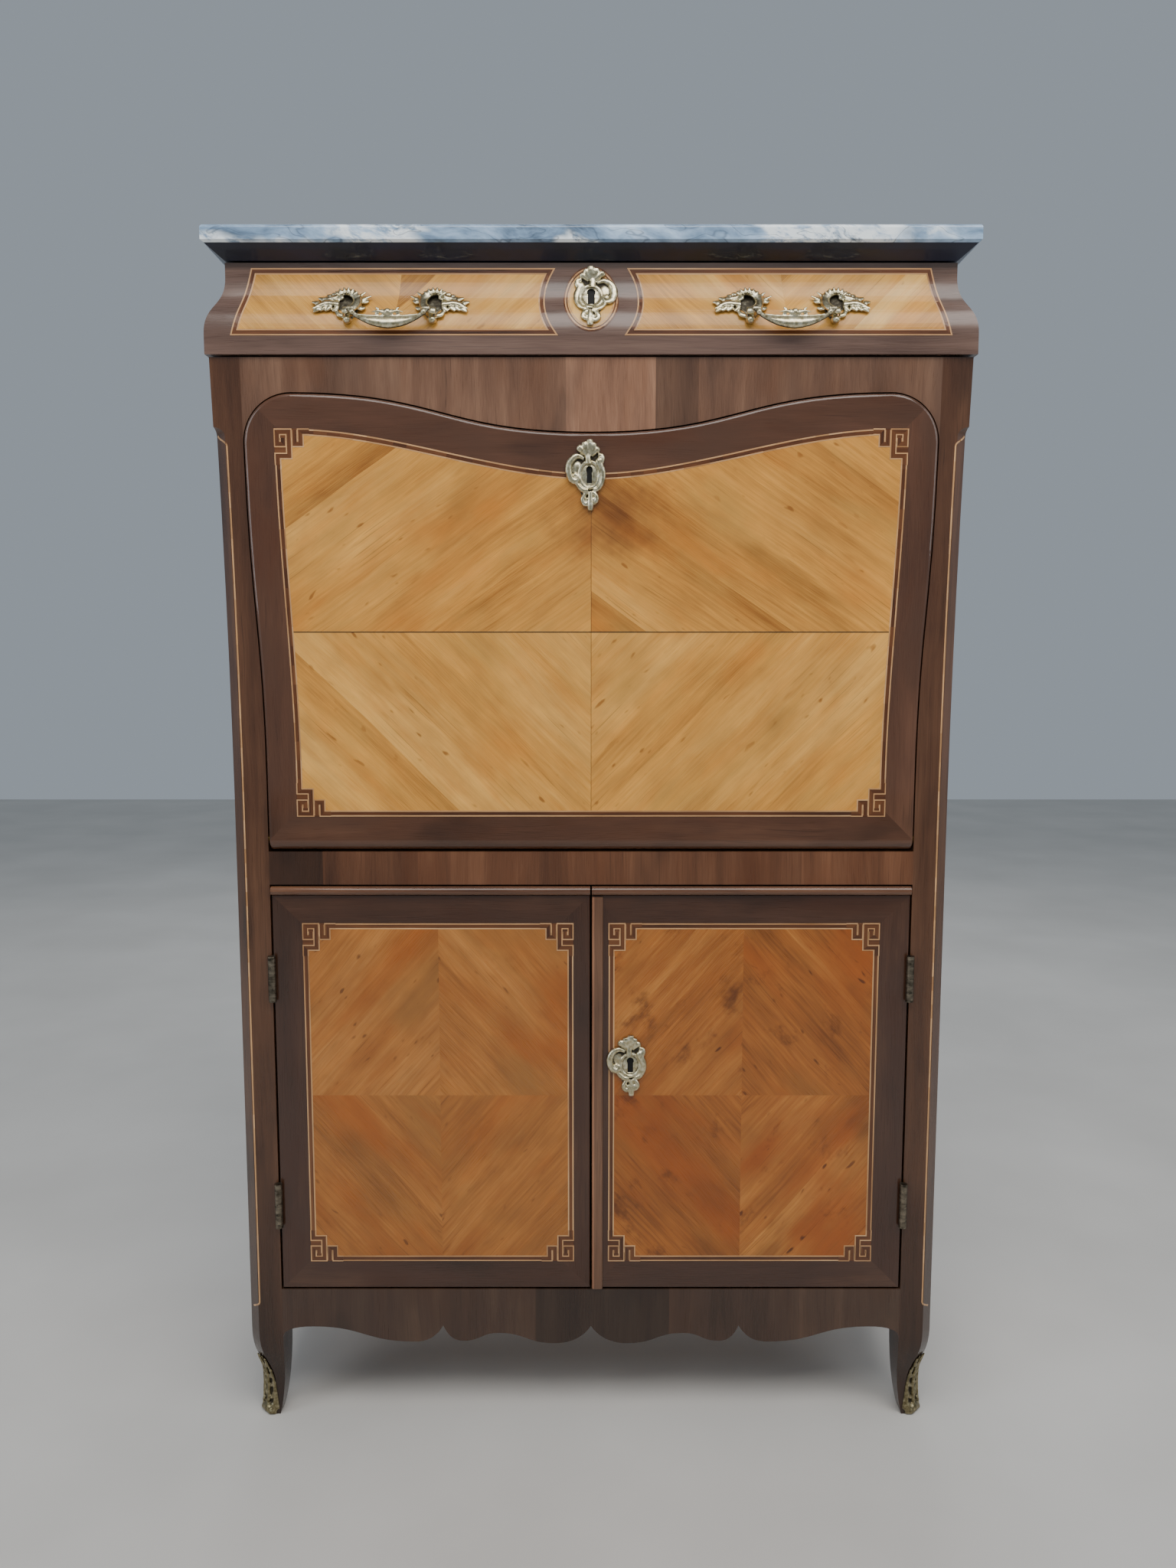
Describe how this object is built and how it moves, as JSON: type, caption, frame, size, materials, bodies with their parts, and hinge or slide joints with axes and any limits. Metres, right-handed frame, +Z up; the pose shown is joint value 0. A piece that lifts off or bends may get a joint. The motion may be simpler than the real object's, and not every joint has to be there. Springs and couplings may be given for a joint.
{
  "type": "fall-front escritoire",
  "caption": "Tall veneered escritoire with a marble top, a moulded drawer, a fall front that drops to a writing surface, a pair of cupboard doors and bronze mounts.",
  "frame": {"origin": "on the floor under the middle of the overall box", "axes": "+Z up, the front faces -Y, +X to the viewer's right"},
  "size_m": [0.838, 0.399, 1.38],
  "materials": {
    "veneered_wood": "polished veneer",
    "plain_oak": "waxed",
    "gilt_brass": "aged gilding",
    "grey_marble": "polished veined stone",
    "writing_leather": "worn"
  },
  "bodies": {
    "case": {"left_front_post": "veneered_wood", "right_front_post": "veneered_wood", "left_back_post": "veneered_wood", "right_back_post": "veneered_wood", "left_side_panel": "veneered_wood", "right_side_panel": "veneered_wood", "left_drawer_cheek": "veneered_wood", "right_drawer_cheek": "veneered_wood", "back_panel": "plain_oak", "sub_top": "plain_oak", "marble_top": "grey_marble", "dust_board": "plain_oak", "frieze_rail": "veneered_wood", "desk_floor": "plain_oak", "mid_rail": "veneered_wood", "cupboard_floor": "plain_oak", "apron": "veneered_wood", "cupboard_shelf": "plain_oak", "shelf_cleats": "plain_oak", "nest_uprights": "plain_oak", "nest_shelves": "plain_oak", "stay_guides": "gilt_brass", "post_hinges": "gilt_brass", "pivot_bushes": "gilt_brass", "foot_mounts": "gilt_brass"},
    "drawer": {"drawer_front": "veneered_wood", "drawer_left_side": "plain_oak", "drawer_right_side": "plain_oak", "drawer_back": "plain_oak", "drawer_bottom": "plain_oak", "drawer_escutcheon": "gilt_brass", "drawer_lock": "gilt_brass", "handle_mounts": "gilt_brass"},
    "left_bail": {"left_bail": "gilt_brass"},
    "right_bail": {"right_bail": "gilt_brass"},
    "drawer_bolt": {"drawer_bolt": "gilt_brass"},
    "fall": {"fall_board": "veneered_wood", "fall_leather": "writing_leather", "fall_pivots": "gilt_brass", "fall_stays": "gilt_brass", "fall_lock": "gilt_brass", "fall_escutcheon": "gilt_brass"},
    "fall_bolt": {"fall_bolt": "gilt_brass"},
    "left_door": {"left_door_panel": "veneered_wood", "left_door_moulding": "veneered_wood", "left_door_hinges": "gilt_brass", "left_bolt_keep": "gilt_brass"},
    "left_door_bolt": {"left_door_bolt": "gilt_brass"},
    "right_door": {"right_door_panel": "veneered_wood", "right_door_moulding": "veneered_wood", "meeting_strip": "veneered_wood", "right_door_hinges": "gilt_brass", "door_lock": "gilt_brass", "door_escutcheon": "gilt_brass"},
    "door_bolt": {"door_bolt": "gilt_brass"},
    "left_small_drawer": {"left_small_drawer": "plain_oak", "left_small_knob": "gilt_brass"},
    "right_small_drawer": {"right_small_drawer": "plain_oak", "right_small_knob": "gilt_brass"}
  },
  "joints": [
    {"name": "drawer_slide", "type": "slide", "parent": "case", "child": "drawer", "axis": [0, -1, 0], "range_m": [0, 0.24]},
    {"name": "left_bail_swing", "type": "hinge", "parent": "drawer", "child": "left_bail", "pos_m": [-0.217, -0.1945, 1.289], "axis": [-1, 0, 0], "range_deg": [0, 85]},
    {"name": "right_bail_swing", "type": "hinge", "parent": "drawer", "child": "right_bail", "pos_m": [0.217, -0.1945, 1.289], "axis": [-1, 0, 0], "range_deg": [0, 85]},
    {"name": "drawer_bolt_slide", "type": "slide", "parent": "drawer", "child": "drawer_bolt", "axis": [0, 0, 1], "range_m": [0, 0.009]},
    {"name": "fall_hinge", "type": "hinge", "parent": "case", "child": "fall", "pos_m": [0, -0.1535, 0.711], "axis": [1, 0, 0], "range_deg": [0, 90]},
    {"name": "fall_bolt_slide", "type": "slide", "parent": "fall", "child": "fall_bolt", "axis": [0, 0, 1], "range_m": [0, 0.009]},
    {"name": "left_door_hinge", "type": "hinge", "parent": "case", "child": "left_door", "pos_m": [-0.3695, -0.1653, 0.4], "axis": [0, 0, -1], "range_deg": [0, 150]},
    {"name": "left_door_bolt_slide", "type": "slide", "parent": "left_door", "child": "left_door_bolt", "axis": [0, 0, 1], "range_m": [0, 0.009]},
    {"name": "right_door_hinge", "type": "hinge", "parent": "case", "child": "right_door", "pos_m": [0.3695, -0.1653, 0.4], "axis": [0, 0, 1], "range_deg": [0, 150]},
    {"name": "door_bolt_slide", "type": "slide", "parent": "right_door", "child": "door_bolt", "axis": [-1, 0, 0], "range_m": [0, 0.009]},
    {"name": "left_small_drawer_slide", "type": "slide", "parent": "case", "child": "left_small_drawer", "axis": [0, -1, 0], "range_m": [0, 0.115]},
    {"name": "right_small_drawer_slide", "type": "slide", "parent": "case", "child": "right_small_drawer", "axis": [0, -1, 0], "range_m": [0, 0.115]}
  ]
}
